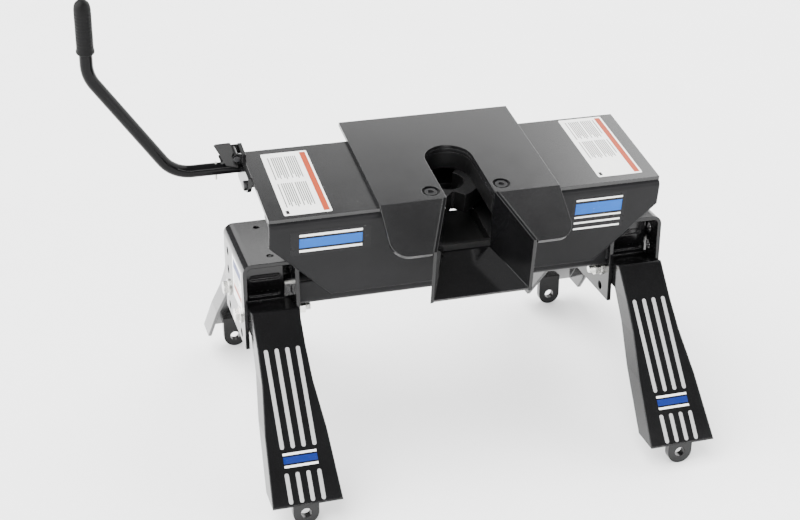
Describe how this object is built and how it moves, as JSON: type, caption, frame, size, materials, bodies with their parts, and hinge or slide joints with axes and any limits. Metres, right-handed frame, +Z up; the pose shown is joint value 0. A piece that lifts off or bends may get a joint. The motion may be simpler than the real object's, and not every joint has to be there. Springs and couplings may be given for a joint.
{
  "type": "fifth wheel hitch",
  "caption": "Truck-bed fifth wheel hitch: legs on bolted side brackets, a tipping and rocking head with skid plate and funnel, sliding-bar jaws, and a pull handle.",
  "frame": {"origin": "on the floor under the rail tabs, midway between the four tabs", "axes": "+X to the right seen from behind the hitch (the pull handle is on -X), +Y towards the truck's cab, away from the trailer (the funnel opens to -Y), +Z up"},
  "size_m": [0.8837, 0.589, 0.7154],
  "materials": {
    "black_powder_coat": "gloss black powder coat",
    "dark_grey_coat": "satin dark grey coat",
    "satin_black_coat": "satin black coat",
    "zinc": "bright zinc plate",
    "pin_steel": "ground steel",
    "forged_steel": "forged steel, dark",
    "bronze": "plain bronze",
    "rubber": "moulded black rubber",
    "grip_rubber": "dark grey rubber grip"
  },
  "bodies": {
    "base": {"left_bracket": "black_powder_coat", "right_bracket": "black_powder_coat", "left_front_leg": "black_powder_coat", "left_rear_leg": "black_powder_coat", "right_front_leg": "black_powder_coat", "right_rear_leg": "black_powder_coat", "front_rail_tabs": "black_powder_coat", "rear_rail_tabs": "black_powder_coat", "cross_member": "dark_grey_coat", "pivot_ears": "dark_grey_coat", "pitch_pin": "pin_steel", "pitch_pin_clips": "zinc", "pitch_bumpers": "rubber", "leg_bolts": "zinc", "leg_nuts": "zinc", "leg_washers": "zinc"},
    "rocker_body": {"rocker": "forged_steel", "rocker_bushes": "bronze"},
    "head": {"top_plate": "satin_black_coat", "skid_plate": "satin_black_coat", "front_apron": "dark_grey_coat", "rear_apron": "dark_grey_coat", "head_ribs": "satin_black_coat", "funnel": "black_powder_coat", "throat_strap": "satin_black_coat", "throat_floor": "satin_black_coat", "upper_yoke": "forged_steel", "lower_jaw_plate": "forged_steel", "jaw_pins": "pin_steel", "jaw_pin_nuts": "zinc", "tie_bolts": "forged_steel", "tie_nuts": "zinc", "tie_spacers": "forged_steel", "roll_pin": "pin_steel", "roll_washers": "zinc", "roll_cushions": "rubber", "spring_anchor": "satin_black_coat", "guide_plate": "satin_black_coat", "guide_bolts": "zinc", "latch_ears": "satin_black_coat", "latch_pin": "zinc", "return_spring": "zinc"},
    "left_jaw_body": {"left_jaw": "forged_steel"},
    "right_jaw_body": {"right_jaw": "forged_steel"},
    "handle": {"lock_bar": "forged_steel", "rod_link": "forged_steel", "pull_rod": "black_powder_coat", "rod_cotter": "zinc", "handle_grip": "grip_rubber"},
    "latch": {"latch_flag": "satin_black_coat", "latch_thumb_plate": "satin_black_coat"}
  },
  "joints": [
    {"name": "head_pitch", "type": "hinge", "parent": "base", "child": "rocker_body", "pos_m": [0, 0, 0.268], "axis": [1, 0, 0], "range_deg": [-18.7, 0]},
    {"name": "head_roll", "type": "hinge", "parent": "rocker_body", "child": "head", "pos_m": [0, -0.00695, 0.31023], "axis": [0, 0.9867, 0.1625], "range_deg": [-7, 7], "stiffness_Nm_per_rad": 160},
    {"name": "handle_pull", "type": "slide", "parent": "head", "child": "handle", "axis": [-1, 0, 0], "range_m": [0, 0.0287], "stiffness_N_per_m": 800, "springref_m": -0.02, "deforming": ["return_spring"]},
    {"name": "left_jaw_swing", "type": "hinge", "parent": "head", "child": "left_jaw_body", "pos_m": [-0.07, 0.00345, 0.38187], "axis": [0, -0.1625, 0.9867], "range_deg": [-35.2, 0]},
    {"name": "right_jaw_swing", "type": "hinge", "parent": "head", "child": "right_jaw_body", "pos_m": [0.07, 0.00345, 0.38187], "axis": [0, -0.1625, 0.9867], "range_deg": [0, 35.2]},
    {"name": "latch_lift", "type": "hinge", "parent": "head", "child": "latch", "pos_m": [-0.316, 0.05208, 0.44967], "axis": [0, 0.9867, 0.1625], "range_deg": [0, 60]}
  ],
  "couplings": [
    {"joint": "left_jaw_swing", "follows": "handle_pull", "rad_per_m": -21.279},
    {"joint": "right_jaw_swing", "follows": "handle_pull", "rad_per_m": 21.279}
  ]
}
